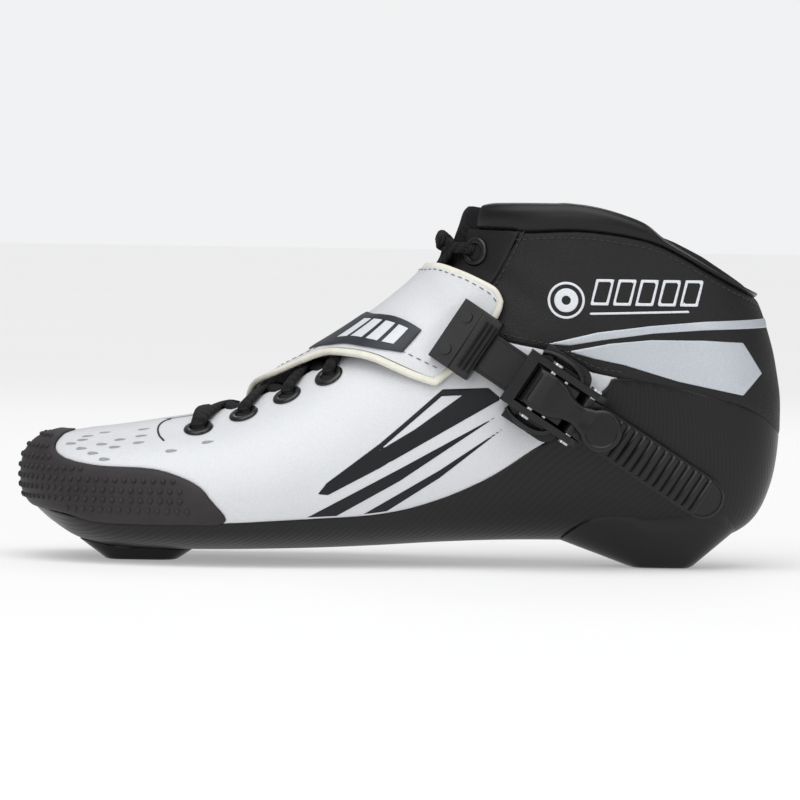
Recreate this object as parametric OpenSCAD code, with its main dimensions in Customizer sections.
/* [Boot] */
// Distance between the two frame mounting holes in the sole
hole_spacing = 195; // [165:1:215]
// Length of the boot from toe bumper to heel
boot_len = 282.5; // [260:0.5:320]
// Height of the ankle collar above the frame plane
boot_h = 133.5; // [125:0.5:150]
// Width over the ball of the foot
ball_w = 99; // [90:0.5:112]
// Width over the waist and heel
heel_w = 68; // [62:0.5:76]
// Width of the ankle collar
collar_w = 66; // [60:0.5:74]

/* [Walls] */
// Thickness of the carbon base wall
carbon_t = 2.2; // [1.6:0.1:2.8]
// Thickness of the leather uppers
upper_t = 1.6; // [1.2:0.1:2.2]
// Thickness of the foam and textile lining
lining_t = 3; // [2:0.25:5]
// Height that the toe bumper stands proud of the uppers
bumper_proud = 1; // [0.5:0.1:2]
// Thickness of the footbed
footbed_t = 4; // [3:0.5:6]
// Gap left between neighbouring layers
skin_gap = 0.1; // [0.05:0.05:0.2]

/* [Frame mounts] */
// Radius of the M6 tapped bore in each insert
insert_r = 2.5; // [2.1:0.1:3.4]
// Outer radius of each insert
insert_body_r = 5; // [4.4:0.1:6.5]
// Length of each flat mounting pad
pad_len = 24; // [20:0.5:28]
// Width of each flat mounting pad
pad_w = 30; // [24:0.5:36]

/* [Throat and laces] */
// Half width of the throat opening at its front
throat_half = 8; // [7:0.25:10]
// Thickness of the tongue
tongue_t = 4; // [3:0.25:5]
// Width of the flat laces
lace_w = 5.2; // [4:0.1:6]
// Thickness of the flat laces
lace_t = 1.8; // [1.2:0.1:2.2]
// Outer radius of the eyelet washers
eyelet_r = 5.6; // [4.6:0.1:6]
// Radius of the hole in each eyelet
eyelet_hole_r = 2.9; // [2.5:0.1:3.4]

/* [Instep strap] */
// Height of the strap's underside above the upper
strap_lift = 3.4; // [3.2:0.1:4.5]
// Thickness of the instep strap
strap_t = 2.6; // [2:0.1:3.5]
// Height of the strap's underside above the upper at the buckle end
strap_end_lift = 1; // [0.5:0.1:1.5]

/* [Ratchet buckle] */
// Width of the ladder strap
ladder_w = 15.6; // [13:0.2:18]
// Thickness of the ladder strap without its teeth
ladder_t = 1.8; // [1.4:0.1:2.4]
// Height of the ladder teeth
tooth_h = 1.2; // [0.8:0.1:1.6]
// Distance from tooth to tooth
tooth_pitch = 3.4; // [3:0.1:4]
// Radius of the lever pin and the pawl pin
pin_r = 1.5; // [1.2:0.05:1.8]
// Radial running clearance on each pin
pin_clear = 0.05; // [0.02:0.01:0.09]
// Thickness of the side walls of the buckle
wall_t = 2.6; // [2:0.1:3.2]
// Side clearance between moving buckle pieces
side_clear = 0.4; // [0.3:0.05:0.6]
// Angle of the ladder strap below the horizontal
strap_angle = 33; // [28:0.5:38]
// Radius of the curve that the ladder strap follows round the boot
ladder_r = 180; // [150:5:240]
// Height of the ladder's underside above the upper at the buckle
ladder_lift = 5.5; // [5:0.1:8]

/* [Hidden] */
kx = boot_len / 282.5;
kz = boot_h / 133.5;
kball = ball_w / 99;
kheel = heel_w / 68;
kcollar = collar_w / 66;

// Ribs of the boot from toe to past the collar: top x and z, bottom x and z, lateral and medial
// half widths, sideways centre, height share of the widest place, top and bottom
// roundness and upward bow
RIBS = [
    [-239.5, 32.0, -239.5, 30.0, 1.0, 1.0, 10.0, 0.50, 2.0, 2.0, 0],
    [-239.0, 36.5, -239.0, 25.0, 11.0, 11.0, 10.0, 0.50, 2.1, 2.1, 0],
    [-237.3, 40.3, -237.3, 21.6, 18.0, 17.0, 9.8, 0.49, 2.2, 2.2, 0],
    [-233.5, 43.8, -233.5, 17.6, 25.0, 23.0, 9.2, 0.47, 2.3, 2.3, 0],
    [-227.0, 46.4, -227.0, 12.6, 32.5, 28.0, 8.0, 0.45, 2.4, 2.5, 0],
    [-217.0, 47.8, -217.0, 7.2, 39.5, 33.5, 6.4, 0.43, 2.4, 2.7, 0],
    [-203.0, 49.6, -203.0, 4.4, 44.5, 39.5, 4.4, 0.41, 2.3, 2.8, 0],
    [-185.0, 52.6, -185.0, 3.9, 47.8, 44.0, 2.6, 0.39, 2.2, 2.8, 0],
    [-165.0, 56.8, -165.0, 4.1, 49.3, 46.6, 1.2, 0.37, 2.0, 2.8, 0],
    [-145.0, 65.0, -145.0, 4.6, 48.5, 45.6, 0.4, 0.36, 1.85, 2.8, 0],
    [-125.0, 76.3, -125.0, 5.3, 45.5, 42.0, 0.0, 0.36, 1.8, 2.7, 0],
    [-108.0, 87.6, -106.0, 6.3, 42.0, 38.5, 0.0, 0.38, 1.8, 2.6, 0],
    [-96.0, 97.0, -82.0, 7.9, 38.6, 35.8, 0.0, 0.40, 1.85, 2.5, 0],
    [-88.5, 104.0, -56.0, 9.0, 36.0, 34.2, 0.0, 0.44, 1.9, 2.4, 0],
    [-84.5, 109.5, -28.0, 9.2, 34.6, 33.6, 0.0, 0.48, 2.0, 2.3, 0],
    [-82.3, 113.2, -2.0, 8.8, 34.2, 33.6, 0.0, 0.52, 2.0, 2.25, 0],
    [-81.0, 116.0, 19.0, 10.2, 34.0, 33.6, 0.0, 0.54, 2.0, 2.2, 0],
    [-80.0, 118.3, 32.8, 17.2, 34.0, 33.8, 0.0, 0.55, 2.0, 2.2, 0],
    [-79.2, 120.5, 40.0, 31.0, 34.0, 34.0, 0.0, 0.54, 2.0, 2.2, 0],
    [-78.4, 123.0, 42.8, 49.0, 34.0, 34.0, 0.0, 0.52, 2.05, 2.2, 1.5],
    [-77.4, 126.0, 42.3, 67.5, 33.8, 33.8, 0.0, 0.50, 2.1, 2.2, 5],
    [-76.4, 129.3, 38.8, 85.0, 33.4, 33.4, 0.0, 0.50, 2.15, 2.2, 10],
    [-75.2, 132.2, 33.2, 100.0, 33.0, 33.0, 0.0, 0.50, 2.2, 2.2, 14],
    [-74.2, 136.5, 24.0, 114.0, 31.0, 31.0, 0.0, 0.50, 2.2, 2.2, 14]
];
RIB_LAST = len(RIBS) - 1;
// Rings and sides of a whole boot surface, and how far a cutting surface runs past the collar
RINGS = 2 * RIB_LAST;
SIDES = 24;
collar_overrun = 30;

// Side outlines [x, z] shared by the pieces that meet along them
CARBON_EDGE = [
    [-300, 18], [-231, 18], [-208, 14], [-175, 13.5], [-132.5, 15.9], [-105, 17.9], [-85.2, 23.1],
    [-65.5, 32.4], [-49.6, 43.5], [-41.7, 49.1], [-22.8, 66.7], [-17.9, 71], [4, 67.2], [23.7, 62.3],
    [36.3, 57.6], [42.5, 49.5], [80, 44]
];
BUMPER = [
    [-300, 50], [-219, 50], [-223.5, 45], [-225.7, 41.9], [-224.4, 38.5], [-218.5, 35.9],
    [-207.6, 34.5], [-189, 34], [-178.3, 31.4], [-170.8, 27.8], [-166.5, 22.9], [-161.3, 15],
    [-175, 13.5], [-208, 14], [-231, 18], [-300, 18]
];
WHITE_TOP = [[-300, 128], [-120, 128], [-92, 104], [-76, 90], [-60, 84], [-42, 80], [-27.8, 73], [-17.9, 71]];
EYESTAY_SEAM = [[-53, 140], [-55.3, 123.6], [-58.8, 116], [-63, 108], [-68, 100], [-76, 90]];
TOP_SEAM = [
    [-300, 124.8], [-76.3, 124.8], [-55.3, 123.6], [-35.7, 124.5], [-18.9, 123.2], [-5.9, 120.5],
    [4, 116.2], [18.8, 107.9], [32.7, 100.7], [60, 87]
];
ROLL_TOP = [
    [-300, 133], [-60.7, 133.2], [-38.5, 133.5], [-23.7, 131.9], [-8.9, 127.3], [-2, 121.8],
    [8, 116], [20, 109], [33, 101.6], [60, 88]
];
PAD_TOP = [
    [-14, 121], [-12, 126], [-6, 127], [-1.5, 125.2], [13.3, 118.1], [22.6, 112.2], [27, 106.8],
    [29.6, 101.7], [31, 96], [20, 100], [4, 111]
];
THROAT = [
    [-186, 0.4], [-184, 0.85], [-180, 1], [-150, 1.05], [-110, 1.15], [-88, 1.35], [-60, 1.5]
];
// Front and rear edges of the instep strap and of its badge, from the medial side to the
// buckle side: rib position and angle from the top
STRAP_FRONT = [
    [9.7, -104], [9.2, -85], [8.7, -65], [8.5, -42], [8.6, -20], [8.9, 0], [9.5, 9], [10, 17],
    [10.5, 30], [11.2, 45], [11.8, 56], [12.4, 65]
];
STRAP_REAR = [
    [11.4, -104], [11.5, -85], [11.8, -65], [12.3, -42], [12.9, -20], [13.6, 0], [13.8, 9],
    [14.2, 17], [15.2, 31], [16.1, 41], [16.7, 49], [16.4, 53.5]
];
BADGE_FRONT = [[9.75, -14], [9.8, 2], [10.1, 15], [10.45, 24], [10.85, 34], [11.3, 42], [11.75, 48]];
BADGE_REAR = [[10.9, -14], [11, 0], [11.15, 13], [11.4, 21], [11.75, 29], [12.1, 37], [12.4, 44]];
// Eyelets from toe to ankle: rib position and angle from the top
EYELETS = [[7.64, 34], [8.46, 30.3], [9.25, 29], [10.02, 30.6], [11.02, 28.7], [12.6, 27], [18.4, 30.3]];
// Place of the buckle's lever pin on the lateral side, in boot x and z
buckle_x = -46.2;
buckle_z = 66.4;
// Height of the two mounting pads under the base at the front and the heel
front_pad_h = 4.8;
heel_pad_h = 9.6;
// Buckle heights above the ladder's underside, and places along it
lever_pin_z = 7.6;
pawl_pin_x = 17;
pawl_pin_z = 6.4;
drive_pin_x = 6;
drive_pin_z = 8.2;
drive_pin_r = 0.9;
guard_h = 8.1;
slot_floor = -1.1;
base_bottom = -3.1;
wall_top = 10.4;
tail_end = 78.7;
arc_x = 4;
teeth_from = -6;
tooth_top = ladder_t + tooth_h;
wall_in = ladder_w / 2 + side_clear;
wall_out = wall_in + wall_t;
plate_half = 12.5;
front_floor = 6.6;
heel_floor = 11.6;
flange = 2;
eps = 0.01;
washer_h = 1.1;
piping_r = 1.2;
wide = 90;

// Catmull-Rom blend of four rows
function blend4(a, b, c, d, t) =
    0.5 * (2 * b + (c - a) * t + (2 * a - 5 * b + 4 * c - d) * t * t
    + (3 * b - a - 3 * c + d) * t * t * t);
function row(list, i) = list[max(0, min(len(list) - 1, i))];
function smooth_row(list, s) =
    let (i = max(0, min(len(list) - 2, floor(s))))
    blend4(row(list, i - 1), row(list, i), row(list, i + 1), row(list, i + 2), s - i);
function unit(v) = v / max(norm(v), 1e-9);
function ramp(v, lo, hi) = min(1, max(0, (v - lo) / (hi - lo)));
function width_scale(s) =
    let (to_heel = ramp(s, 9, 13), to_collar = ramp(s, 18, 22))
    (1 - to_heel) * kball + (to_heel - to_collar) * kheel + to_collar * kcollar;

// Point of the boot's outer surface: s runs from toe to collar, a from the top
// round the lateral side to the bottom and back up the medial side
function skin(s, a) =
    let (
        r = smooth_row(RIBS, s), c = cos(a), q = sin(a),
        half = (q > 0 ? r[4] : r[5]) * width_scale(s),
        e = 2 / (c > 0 ? r[8] : r[9]),
        h = c > 0 ? r[7] + (1 - r[7]) * pow(c, e) : r[7] - r[7] * pow(-c, e),
        rise = [r[0] - r[2], r[1] - r[3]],
        l = max(norm(rise), 1e-6),
        bow = 4 * h * (1 - h) * r[10]
    )
    [
        (r[2] + rise[0] * h + rise[1] / l * bow) * kx,
        r[6] - sign(q) * half * pow(abs(q), e),
        (r[3] + rise[1] * h - rise[0] / l * bow) * kz
    ];
function outward(s, a) =
    unit(cross(skin(s, a + 1) - skin(s, a - 1), skin(min(RIB_LAST, s + 0.05), a) - skin(max(0, s - 0.05), a)));
function lifted(s, a, d) = skin(s, a) + d * outward(s, a);

// Closed surface round rings of equal length, with flat ends
module ring_solid(rings) {
    n = len(rings[0]);
    last = len(rings) - 1;
    polyhedron(
        points = [for (ring = rings) each ring],
        faces = concat(
            [for (i = [0:last - 1], j = [0:n - 1]) let (k = (j + 1) % n)
                [i * n + j, (i + 1) * n + j, (i + 1) * n + k, i * n + k]],
            [[for (j = [0:n - 1]) j]],
            [[for (j = [n - 1:-1:0]) last * n + j]]
        ),
        convexity = 6
    );
}
// The boot's surface moved outwards by d, open_end past the collar when it cuts
module boot_body(d, open_end = 0) {
    body_rings = [for (i = [0:RINGS]) [for (j = [0:SIDES - 1]) lifted(i / 2, 360 * j / SIDES, d)]];
    over = [for (p = body_rings[RINGS]) p + [open_end * 0.3, 0, open_end]];
    ring_solid(open_end > 0 ? concat(body_rings, [over]) : body_rings);
}
module boot_wall(d_out, d_in) {
    difference() {
        boot_body(d_out);
        boot_body(d_in, collar_overrun);
    }
}
// Block of everything inside a side outline
module side_block(outline, y_from = -wide, y_to = wide) {
    translate([0, y_to, 0]) rotate([90, 0, 0]) linear_extrude(y_to - y_from)
        polygon([for (p = outline) [p[0] * kx, p[1] * kz]]);
}
module below(line, grow = 0) {
    translate([0, 0, grow]) side_block(concat(line, [[80, -20], [-300, -20]]));
}
module above(line, grow = 0) {
    translate([0, 0, grow]) side_block(concat(line, [[80, 200], [-300, 200]]));
}
module throat_block(grow) {
    side = [for (p = THROAT) [p[0] * kx - (p[1] < 0.5 ? grow : 0), p[1] * throat_half + grow]];
    back = [for (i = [len(side) - 1:-1:0]) [side[i][0], -side[i][1]]];
    translate([0, 0, 38 * kz]) linear_extrude(120 * kz) polygon(concat(side, back));
}
// Hands a group of closed meshes on as one mesh
module as_one() {
    resize([0, 0, 0]) children();
}

// Frame of the buckle: x along the ladder towards its tip, z out of the boot
module at_buckle() {
    translate([buckle_x * kx, -(34.1 * kheel + ladder_lift), buckle_z * kz])
        rotate([0, strap_angle, 0]) rotate([90, 0, 0]) children();
}
module across(x, z, r, half) {
    translate([x, 0, z]) rotate([90, 0, 0]) cylinder(r = r, h = 2 * half, center = true, $fn = 48);
}
module profile(points, half) {
    rotate([90, 0, 0]) linear_extrude(2 * half, center = true) polygon(points);
}
// Piece of a ring that follows the ladder's curve, from one place to another along it
module along_arc(x_from, x_to, z_from, z_to, half) {
    from = (x_from - arc_x) / ladder_r * 180 / PI;
    sweep = (x_to - x_from) / ladder_r * 180 / PI;
    translate([arc_x, 0, -ladder_r]) rotate([90, 0, 0]) rotate([0, 0, 90 - from - sweep])
        rotate_extrude(angle = sweep, $fn = 180)
            translate([ladder_r + z_from, -half]) square([z_to - z_from, 2 * half]);
}
module on_arc(x) {
    translate([arc_x, 0, -ladder_r]) rotate([0, (x - arc_x) / ladder_r * 180 / PI, 0])
        translate([0, 0, ladder_r]) children();
}

module carbon_base() {
    color([0.12, 0.12, 0.115]) as_one() difference() {
        boot_wall(0, -carbon_t);
        above(CARBON_EDGE, -skin_gap);
        side_block(BUMPER);
        pad_shape(-hole_spacing, front_pad_h, skin_gap);
        pad_shape(0, heel_pad_h, skin_gap);
        insert_seat(-hole_spacing, front_floor);
        insert_seat(0, heel_floor);
        buckle_bore(2.4);
    }
}
module insert_seat(x, floor_z) {
    translate([x, 0, -1]) cylinder(r = insert_body_r + 0.2, h = floor_z + 1, $fn = 40);
    translate([x, 0, floor_z - skin_gap]) cylinder(r = insert_body_r + flange + 0.2, h = 12, $fn = 40);
}
// Flared block from a flat pad up to the sole
module pad_shape(x, h, grow = 0) {
    corner = 4;
    hull() for (sx = [-1, 1], sy = [-1, 1]) {
        translate([x - 1 + sx * (pad_len / 2 - corner), sy * (pad_w / 2 - corner), 0])
            cylinder(r = corner + grow, h = 0.5, $fn = 24);
        translate([x - 1 + sx * (pad_len / 2 - corner) + (sx < 0 ? -1.2 : 0.7) * h,
            sy * (pad_w / 2 - corner + h * 0.3), h - 0.5])
            cylinder(r = corner + grow, h = 0.5 + grow, $fn = 24);
    }
}
module mount_block(x, h) {
    difference() {
        pad_shape(x, h);
        translate([x, 0, -1]) cylinder(r = insert_body_r, h = h + 2, $fn = 64);
    }
}
module front_mount_block() {
    color([0.12, 0.12, 0.115]) mount_block(-hole_spacing, front_pad_h);
}
module heel_mount_block() {
    color([0.12, 0.12, 0.115]) mount_block(0, heel_pad_h);
}
// Threaded insert from the pad's face to a flange on the inside of the sole
module insert(x, h) {
    translate([x, 0, 0]) difference() {
        union() {
            cylinder(r = insert_body_r, h = h, $fn = 64);
            translate([0, 0, h]) cylinder(r = insert_body_r + flange, h = 1.2, $fn = 64);
        }
        translate([0, 0, -1]) cylinder(r = insert_r, h = h + 4, $fn = 64);
    }
}
module mount_inserts() {
    color([0.72, 0.73, 0.75]) {
        insert(-hole_spacing, front_floor);
        insert(0, heel_floor);
    }
}
module toe_bumper() {
    color([0.23, 0.21, 0.22]) as_one() intersection() {
        boot_wall(bumper_proud, -upper_t);
        side_block(BUMPER);
    }
}
module vamp() {
    color([0.92, 0.93, 0.95]) as_one() difference() {
        boot_wall(0, -upper_t);
        below(CARBON_EDGE);
        above(WHITE_TOP);
        side_block([[-17.9, 20], [80, 20], [80, 140], [-17.9, 140]]);
        side_block(BUMPER);
        translate([skin_gap, 0, -skin_gap]) side_block(BUMPER);
        throat_block(0);
        eyelet_holes();
        buckle_bore(2.4);
    }
}
module ankle_cuff() {
    color([0.15, 0.14, 0.14]) as_one() difference() {
        boot_wall(0, -upper_t);
        below(CARBON_EDGE);
        below(concat(WHITE_TOP, [[80, 40]]), skin_gap);
        side_block(concat(EYESTAY_SEAM, [[-300, 90], [-300, 140]]));
        above(TOP_SEAM);
    }
}
module eyestay_panel() {
    color([0.09, 0.09, 0.09]) as_one() difference() {
        intersection() {
            boot_wall(0, -upper_t);
            side_block(concat(EYESTAY_SEAM, [[-92, 104], [-120, 128], [-120, 140]]));
        }
        below(concat(WHITE_TOP, [[80, 40]]), skin_gap);
        translate([skin_gap, 0, 0]) side_block(concat(EYESTAY_SEAM, [[-40, 90], [-40, 140]]));
        above(TOP_SEAM);
        throat_block(0);
        eyelet_holes();
    }
}
module collar_padding() {
    color([0.1, 0.1, 0.1]) as_one() difference() {
        boot_wall(1, -5);
        below(TOP_SEAM, skin_gap);
        above(ROLL_TOP);
        throat_block(0);
    }
}
module achilles_pad() {
    color([0.13, 0.13, 0.13]) as_one() intersection() {
        boot_wall(-0.8, -7);
        side_block(PAD_TOP);
        above(ROLL_TOP, skin_gap);
    }
}
module tongue() {
    under = -upper_t - 0.3;
    color([0.1, 0.1, 0.1]) as_one() difference() {
        union() {
            difference() {
                intersection() {
                    boot_wall(under, under - tongue_t);
                    throat_block(6);
                }
                above(TOP_SEAM);
            }
            intersection() {
                boot_wall(0.5, under - tongue_t);
                throat_block(-0.4);
                above([[-300, 112], [80, 112]]);
            }
        }
        above(ROLL_TOP);
    }
}
module lining() {
    color([0.2, 0.2, 0.2]) as_one() difference() {
        boot_wall(-carbon_t - skin_gap, -carbon_t - lining_t);
        throat_block(6.5);
        above(TOP_SEAM, -3);
        for (x = [-hole_spacing, 0]) translate([x, 0, -1]) cylinder(r = insert_body_r + flange + 0.6, h = 15, $fn = 32);
        buckle_bore(8.2);
    }
}
// Inner sole that lies on the lining, as deep as the floor and the footbed
module footbed() {
    floor_line = [for (i = [2:0.5:17]) let (p = skin(i, 180))
        [p[0] / kx, (p[2] + carbon_t + lining_t + footbed_t + 0.5) / kz]];
    color([0.3, 0.3, 0.32]) as_one() intersection() {
        boot_body(-carbon_t - lining_t - 0.3);
        side_block(concat(floor_line, [[36, -20], [-300, -20]]));
    }
}

module eyelet_at(e, side) {
    p = skin(e[0], side * e[1]);
    n = outward(e[0], side * e[1]);
    translate(p) rotate([0, acos(n[2]), atan2(n[1], n[0])]) children();
}
module eyelet_holes() {
    for (e = EYELETS, side = [-1, 1]) eyelet_at(e, side)
        translate([0, 0, -5]) cylinder(r = eyelet_hole_r + 0.7, h = 10, $fn = 20);
}
// Rolled washer with its tube through the leather
module eyelet() {
    rotate_extrude($fn = 40) {
        translate([eyelet_hole_r, -upper_t]) square([0.5, upper_t + washer_h]);
        translate([eyelet_hole_r, washer_h - 0.5]) square([eyelet_r - eyelet_hole_r, 0.5]);
    }
}
module eyelets_lateral() {
    color([0.07, 0.07, 0.07]) for (e = EYELETS) eyelet_at(e, 1) eyelet();
}
module eyelets_medial() {
    color([0.07, 0.07, 0.07]) for (e = EYELETS) eyelet_at(e, -1) eyelet();
}
// Flat lace between two places on the boot: rib position, angle and lift at each end
module lace_run(from, to, sag) {
    steps = 7;
    path = [for (i = [0:steps]) let (t = i / steps)
        lifted(
            from[0] + (to[0] - from[0]) * t,
            from[1] + (to[1] - from[1]) * t,
            from[2] + (to[2] - from[2]) * t - sag * 4 * t * (1 - t)
        )];
    rings = [for (i = [0:steps]) let (
            p = path[i],
            t = i / steps,
            dir = unit(path[min(steps, i + 1)] - path[max(0, i - 1)]),
            up = outward(from[0] + (to[0] - from[0]) * t, from[1] + (to[1] - from[1]) * t),
            side = unit(cross(up, dir))
        )
        [for (k = [0:7]) p + side * (lace_w / 2 * cos(45 * k)) + up * (lace_t / 2 * sin(45 * k))]];
    ring_solid(rings);
}
module laces() {
    over_eyelet = washer_h + lace_t / 2 + 0.1;
    first = EYELETS[0];
    color([0.06, 0.06, 0.06]) as_one() difference() {
        union() {
            for (i = [0:len(EYELETS) - 2]) {
                a = EYELETS[i];
                b = EYELETS[i + 1];
                lace_run([a[0], a[1] + 1, over_eyelet], [b[0], -1 - b[1], over_eyelet], 0.3);
                lace_run([a[0], -1 - a[1], over_eyelet], [b[0], b[1] + 1, over_eyelet], 0.9);
            }
            lace_run([first[0], first[1] + 1, over_eyelet], [first[0], -1 - first[1], over_eyelet], 0.6);
        }
        for (e = EYELETS, side = [-1, 1]) eyelet_at(e, side)
            translate([0, 0, -4]) cylinder(r = eyelet_r + skin_gap, h = 4 + washer_h + 0.05, $fn = 40);
    }
}

// Height of the strap over the boot: it clears the laces and settles towards the buckle
function strap_height(a) = strap_lift + (strap_end_lift - strap_lift) * ramp(a, 44, 60);
// Place on a band between two edge lines, at a height over the strap's underside: t runs
// along the band, w from its front edge to its rear
function band(front, rear, t, w, above_under) =
    let (
        f = smooth_row(front, t * (len(front) - 1)),
        r = smooth_row(rear, t * (len(rear) - 1)),
        p = f + (r - f) * w
    )
    lifted(p[0], p[1], strap_height(p[1]) + above_under);
// Slab that follows the boot between two edge lines, inset from them by a share of a rib
module band_solid(front, rear, d, thick, inset, t_to, along, across) {
    as_one() ring_solid([for (i = [0:along]) let (
            t = t_to * i / along,
            span = smooth_row(rear, t * (len(rear) - 1))[0] - smooth_row(front, t * (len(front) - 1))[0],
            margin = inset / span
        )
        concat(
            [for (k = [0:across]) band(front, rear, t, margin + (1 - 2 * margin) * k / across, d)],
            [for (k = [across:-1:0]) band(front, rear, t, margin + (1 - 2 * margin) * k / across, d + thick)]
        )]);
}
module instep_strap() {
    color([0.92, 0.93, 0.95]) as_one() difference() {
        band_solid(STRAP_FRONT, STRAP_REAR, 0, strap_t, 0.11, 0.98, 26, 8);
        piping_tube(piping_r + skin_gap);
        end_plate_room();
    }
}
module end_plate_room() {
    at_buckle() along_arc(-41.2, -24, -3, 6, plate_half + 0.2);
}
// Cord sewn round the strap's edge
module piping_tube(r) {
    along = 24;
    across = 4;
    mid = strap_t / 2;
    path = concat(
        [for (i = [0:along]) band(STRAP_FRONT, STRAP_REAR, i / along, 0, mid)],
        [for (k = [1:across - 1]) band(STRAP_FRONT, STRAP_REAR, 1, k / across, mid)],
        [for (i = [along:-1:0]) band(STRAP_FRONT, STRAP_REAR, i / along, 1, mid)]
    );
    last = len(path) - 1;
    ring_solid([for (i = [0:last]) let (
            dir = unit(path[min(last, i + 1)] - path[max(0, i - 1)]),
            side = unit(cross([0, 0.2, 1], dir)),
            up = cross(dir, side)
        )
        [for (k = [0:7]) path[i] + r * (side * cos(45 * k) + up * sin(45 * k))]]);
}
module strap_piping() {
    color([0.88, 0.87, 0.82]) as_one() difference() {
        piping_tube(piping_r);
        end_plate_room();
    }
}
module strap_badge() {
    color([0.15, 0.16, 0.18])
        band_solid(BADGE_FRONT, BADGE_REAR, strap_t + 0.15, 0.7, 0, 1, 12, 4);
}
module strap_anchor_pad() {
    color([0.1, 0.1, 0.1]) as_one() intersection() {
        boot_wall(strap_lift - skin_gap, skin_gap);
        side_block([[-128, 38], [-120, 29], [-102, 31], [-96, 36], [-94, 46], [-130, 46]], 0, wide);
    }
}
module strap_rivets() {
    color([0.6, 0.6, 0.62]) for (s = [9.9, 11.1]) rivet_on(s, -88);
}
module rivet_on(s, a) {
    p = lifted(s, a, strap_lift + strap_t + 0.1);
    n = outward(s, a);
    translate(p) rotate([0, acos(n[2]), atan2(n[1], n[0])])
        intersection() {
            translate([0, 0, -3.4]) sphere(r = 5, $fn = 40);
            cylinder(r = 4, h = 2, $fn = 40);
        }
}

module strap_end_plate() {
    color([0.09, 0.09, 0.09]) at_buckle() difference() {
        along_arc(-41, -32.6, -1.2, 4.2, plate_half);
        for (y = [-1, 1]) on_arc(-37) translate([0, y * 7, -2]) cylinder(r = 1.3, h = 8, $fn = 32);
    }
}
module keeper_block() {
    color([0.09, 0.09, 0.09]) at_buckle() difference() {
        along_arc(-32.4, -24.4, -1.3, 5, plate_half);
        along_arc(-33, -24, -0.05, ladder_t + 0.05, ladder_w / 2 + 0.05);
    }
}
module ladder_strap() {
    last = tail_end - ladder_w / 2;
    color([0.09, 0.09, 0.09]) at_buckle() {
        along_arc(-32.4, last, 0, ladder_t, ladder_w / 2);
        on_arc(last) intersection() {
            cylinder(r = ladder_w / 2, h = ladder_t, $fn = 64);
            translate([-0.05, -wide, -1]) cube([wide, 2 * wide, 5]);
        }
        for (i = [0:floor((last - teeth_from) / tooth_pitch)])
            on_arc(teeth_from + i * tooth_pitch) translate([0, 0, ladder_t - 0.05])
                profile([[-1.1, 0], [1.1, 0], [0.7, tooth_h + 0.05], [0.1, tooth_h + 0.05]], ladder_w / 2 - 1);
    }
}
module end_plate_screws() {
    color([0.6, 0.6, 0.62]) at_buckle() for (y = [-1, 1]) on_arc(-37) translate([0, y * 7, 0.4]) {
        cylinder(r = 1.25, h = 3.9, $fn = 32);
        translate([0, 0, 3.9]) cylinder(r = 2.2, h = 0.8, $fn = 32);
    }
}
module buckle_bore(r) {
    at_buckle() translate([9, 0, -15]) cylinder(r = r, h = 15, $fn = 24);
}
module buckle_pad() {
    color([0.12, 0.12, 0.12]) as_one() difference() {
        at_buckle() translate([-8, -wall_out, base_bottom - 9.1]) cube([28, 2 * wall_out, 9]);
        boot_body(skin_gap);
        buckle_bore(2.6);
    }
}
module guard(side) {
    reach = 15.8;
    translate([0, 0, base_bottom]) linear_extrude(guard_h) scale([1, side]) difference() {
        union() {
            translate([-7, wall_out - eps]) square([16, reach - wall_out]);
            translate([9, wall_out - eps]) intersection() {
                circle(r = reach - wall_out, $fn = 48);
                square(20);
            }
        }
        translate([-3, wall_out + 1.2]) square([11, 1.8]);
    }
}
module buckle_base() {
    color([0.08, 0.08, 0.08]) at_buckle() difference() {
        union() {
            translate([-11, -wall_out, base_bottom]) cube([33, 2 * wall_out, slot_floor - base_bottom]);
            for (side = [-1, 1]) {
                profile_wall(side);
                guard(side);
            }
            translate([-11, -wall_out, tooth_top + 0.5]) cube([4.4, 2 * wall_out, 7]);
        }
        across(0, lever_pin_z, pin_r + 0.01, wide);
        across(pawl_pin_x, pawl_pin_z, pin_r + 0.01, wide);
        translate([9, 0, base_bottom - 1]) cylinder(r = 2.1, h = 6, $fn = 40);
    }
}
module profile_wall(side) {
    wall = [[-11, base_bottom], [22, base_bottom], [22, 5], [19, 9], [8, 9], [4, wall_top], [-11, wall_top]];
    translate([0, side * (wall_in + wall_t / 2), 0]) profile(wall, wall_t / 2);
}
module buckle_screw() {
    color([0.6, 0.6, 0.62]) at_buckle() translate([9, 0, 0]) {
        translate([0, 0, -9]) cylinder(r = 2, h = 9 + slot_floor - 0.1, $fn = 40);
        translate([0, 0, slot_floor]) cylinder(r = 3.6, h = 0.35, $fn = 40);
    }
}
module buckle_nut() {
    color([0.6, 0.6, 0.62]) at_buckle() translate([9, 0, -10.2]) difference() {
        cylinder(r = 7.5, h = 1.8, $fn = 40);
        translate([0, 0, -1]) cylinder(r = 2, h = 4, $fn = 40);
    }
}
module pin_with_heads(x, z) {
    across(x, z, pin_r, wall_out + 0.9);
    for (side = [-1, 1])
        translate([x, side * (wall_out + 0.5), z]) rotate([90, 0, 0])
            cylinder(r = pin_r + 0.9, h = 0.8, center = true, $fn = 48);
}
module lever_pin() {
    color([0.75, 0.76, 0.78]) at_buckle() pin_with_heads(0, lever_pin_z);
}
module holding_pawl_pin() {
    color([0.75, 0.76, 0.78]) at_buckle() pin_with_heads(pawl_pin_x, pawl_pin_z);
}
module spring_coils(x, z, y_from, turns, wire) {
    for (i = [0:turns - 1])
        translate([x, y_from + i * wire * 2.1, z]) rotate([90, 0, 0])
            rotate_extrude($fn = 32) translate([pin_r + 0.15 + wire, 0]) circle(r = wire, $fn = 10);
}
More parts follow.
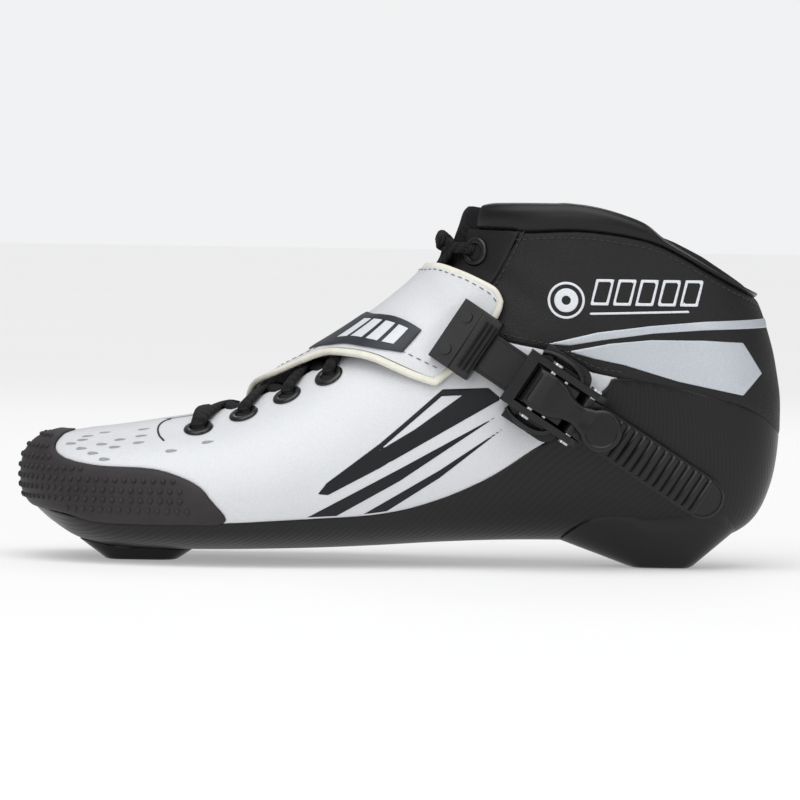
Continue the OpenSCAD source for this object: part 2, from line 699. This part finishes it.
module lever_spring() {
    color([0.7, 0.71, 0.73]) at_buckle() spring_coils(0, lever_pin_z, -1.7, 5, 0.4);
}
module holding_pawl_spring() {
    color([0.7, 0.71, 0.73]) at_buckle() spring_coils(pawl_pin_x, pawl_pin_z, -1.7, 5, 0.35);
}
module drive_lever() {
    half = wall_in - side_clear;
    cheek = [
        [-4.2, 8.2], [-4.4, 10.6], [-2, 12.2], [6, 12.8], [20, 12.2], [20, 9.9], [12, 9.6],
        [8.4, 6.6], [4.6, 5.6], [1, 4.4], [-1.6, 4.6], [-3.6, 6.2]
    ];
    color([0.07, 0.07, 0.07]) at_buckle() difference() {
        union() {
            profile(cheek, half);
            translate([19.9, -4, 9.9]) cube([3, 8, 2.3]);
            translate([26.2, 0, 9.5]) cylinder(r = 7.8, h = 2.7, $fn = 72);
        }
        across(0, lever_pin_z, pin_r + pin_clear, wide);
        across(drive_pin_x, drive_pin_z, drive_pin_r, wide);
        translate([-6, -4.8, 2]) cube([18, 9.6, 8.6]);
    }
}
module pawl_shape(points, x, z, r, bore, half) {
    difference() {
        union() {
            profile(points, half);
            across(x, z, r, half);
        }
        across(x, z, bore, wide);
    }
}
module drive_pawl() {
    nose = tooth_top + 0.3;
    color([0.7, 0.71, 0.73]) at_buckle() pawl_shape(
        [[4.6, 7.4], [7.6, 8.6], [9.4, nose + 0.6], [9.2, nose], [8.2, nose]],
        drive_pin_x, drive_pin_z, 1.9, drive_pin_r + pin_clear, 4.4
    );
}
module drive_pawl_pin() {
    color([0.75, 0.76, 0.78]) at_buckle() across(drive_pin_x, drive_pin_z, drive_pin_r, wall_in - side_clear);
}
module holding_pawl() {
    nose = tooth_top + 0.3;
    color([0.1, 0.1, 0.1]) at_buckle() difference() {
        pawl_shape(
            [[15.6, 8.2], [12.4, nose + 1], [12.4, nose], [13.6, nose], [18.6, 4.8], [22.5, 5.6], [22.5, 7.2], [18, 8.2]],
            pawl_pin_x, pawl_pin_z, 2.5, pin_r + pin_clear, wall_in - side_clear
        );
        translate([pawl_pin_x - 3.5, -2.6, 3.9]) cube([6.8, 5.2, 6]);
    }
}

carbon_base();
front_mount_block();
heel_mount_block();
mount_inserts();
toe_bumper();
vamp();
ankle_cuff();
eyestay_panel();
collar_padding();
achilles_pad();
tongue();
lining();
footbed();
eyelets_lateral();
eyelets_medial();
laces();
instep_strap();
strap_piping();
strap_badge();
strap_anchor_pad();
strap_rivets();
strap_end_plate();
keeper_block();
ladder_strap();
end_plate_screws();
buckle_pad();
buckle_base();
buckle_screw();
buckle_nut();
lever_pin();
lever_spring();
drive_lever();
drive_pawl();
drive_pawl_pin();
holding_pawl();
holding_pawl_pin();
holding_pawl_spring();
